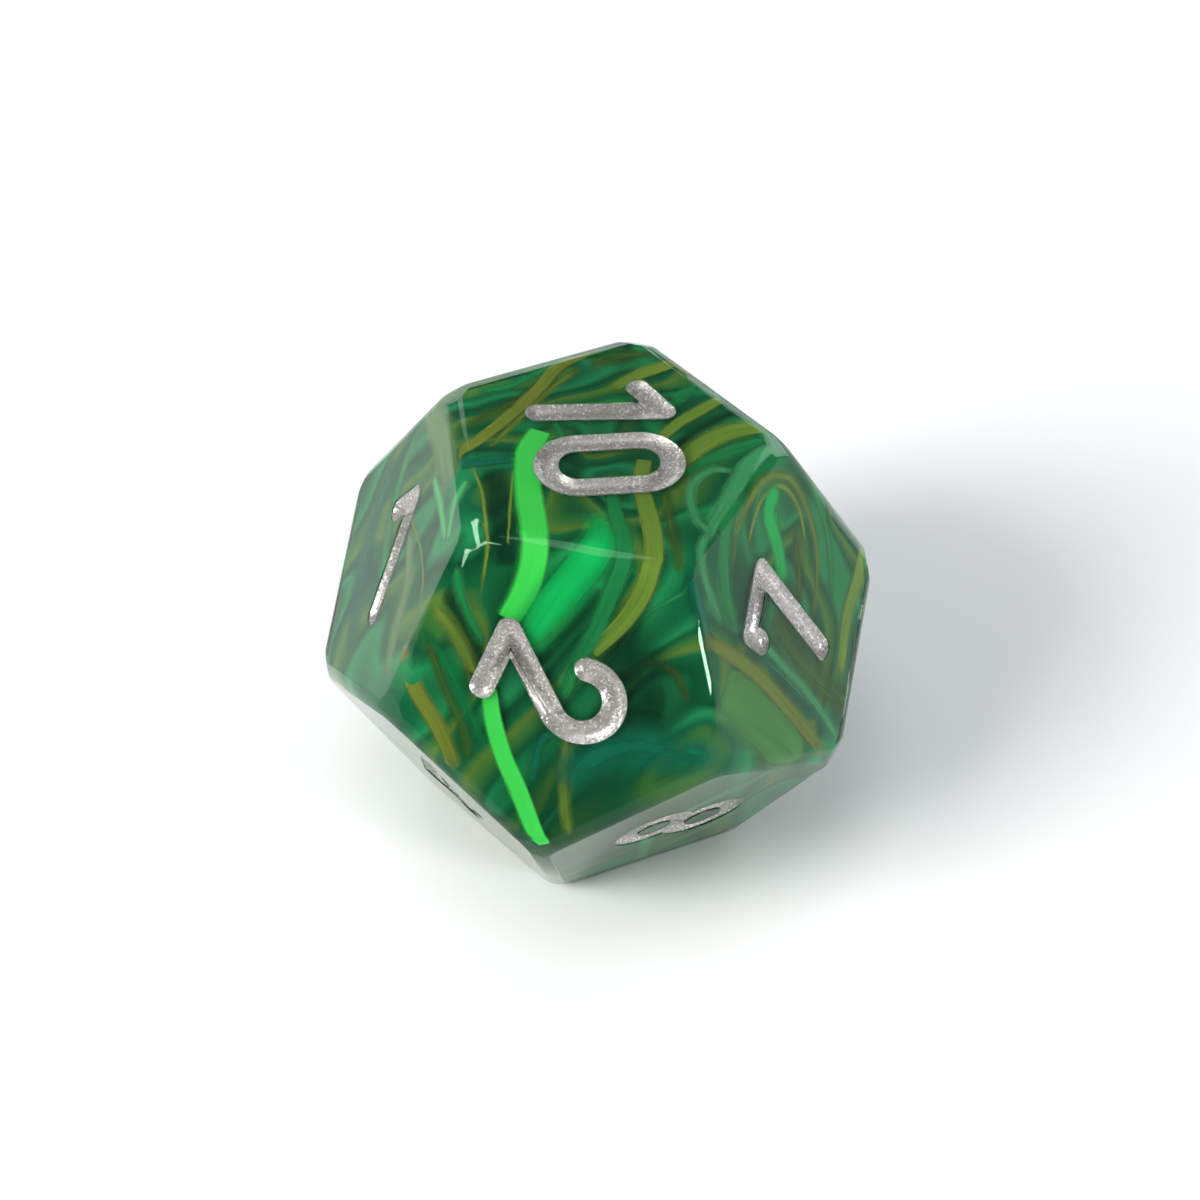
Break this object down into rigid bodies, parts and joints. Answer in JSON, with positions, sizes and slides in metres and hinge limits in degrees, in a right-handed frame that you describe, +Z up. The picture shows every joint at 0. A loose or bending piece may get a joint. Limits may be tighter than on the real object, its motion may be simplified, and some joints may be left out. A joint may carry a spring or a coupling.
{
  "type": "polyhedral die",
  "caption": "Dodecahedral die of clear green resin with coloured streams cast inside and silver-painted engraved numerals.",
  "frame": {"origin": "centre of the face the die rests on, the one marked 3", "axes": "+Z up, out of the face marked 10; the face marked 2 looks towards -Y"},
  "size_m": [0.022, 0.0228, 0.019],
  "materials": {
    "clear_green_resin": "polished, tumbled resin",
    "clouded_green_resin": "clouded resin",
    "bright_green_resin": "opaque coloured resin",
    "emerald_resin": "opaque coloured resin",
    "olive_resin": "opaque coloured resin",
    "mint_resin": "opaque coloured resin",
    "lime_resin": "opaque coloured resin",
    "gold_resin": "opaque coloured resin with mica",
    "teal_resin": "opaque coloured resin",
    "silver_sparkle_paint": "metallic flake paint, dry"
  },
  "bodies": {
    "root": {"bright_green_stream_back": "bright_green_resin", "bright_green_stream_lower": "bright_green_resin", "bright_green_stream_upper": "bright_green_resin", "clouded_core": "clouded_green_resin", "emerald_spot_right": "emerald_resin", "emerald_stream_back_right": "emerald_resin", "emerald_stream_bottom": "emerald_resin", "emerald_stream_front": "emerald_resin", "emerald_stream_side_left": "emerald_resin", "gold_stream_back_left": "gold_resin", "gold_stream_bottom": "gold_resin", "gold_stream_right": "gold_resin", "gold_stream_top": "gold_resin", "gold_thread_front": "gold_resin", "gold_thread_top": "gold_resin", "green_crescent_front": "emerald_resin", "lime_arch_right": "lime_resin", "lime_stream_back_right": "lime_resin", "lime_stream_right": "lime_resin", "lime_stream_top": "lime_resin", "lime_stream_under_left": "lime_resin", "mint_arc_right": "mint_resin", "mint_stream_back_left": "mint_resin", "mint_stream_top": "mint_resin", "mint_stream_under_right": "mint_resin", "mint_thread_front": "mint_resin", "mint_tongue_left": "mint_resin", "mustard_stream_top": "gold_resin", "numeral_10_one_paint": "silver_sparkle_paint", "numeral_10_zero_paint": "silver_sparkle_paint", "numeral_11_left_one_paint": "silver_sparkle_paint", "numeral_11_right_one_paint": "silver_sparkle_paint", "numeral_12_one_paint": "silver_sparkle_paint", "numeral_12_two_paint": "silver_sparkle_paint", "numeral_1_paint": "silver_sparkle_paint", "numeral_2_paint": "silver_sparkle_paint", "numeral_3_paint": "silver_sparkle_paint", "numeral_4_paint": "silver_sparkle_paint", "numeral_5_paint": "silver_sparkle_paint", "numeral_6_paint": "silver_sparkle_paint", "numeral_6_underline_paint": "silver_sparkle_paint", "numeral_7_paint": "silver_sparkle_paint", "numeral_8_paint": "silver_sparkle_paint", "numeral_9_paint": "silver_sparkle_paint", "numeral_9_underline_paint": "silver_sparkle_paint", "olive_arc_left": "olive_resin", "olive_stream_front": "olive_resin", "olive_stream_front_top": "olive_resin", "olive_stream_side_right": "olive_resin", "olive_stream_top": "olive_resin", "pale_green_stream_right": "mint_resin", "resin_body": "clear_green_resin", "teal_stream_back": "teal_resin", "teal_stream_left": "teal_resin", "teal_veil_front": "teal_resin"}
  },
  "joints": []
}
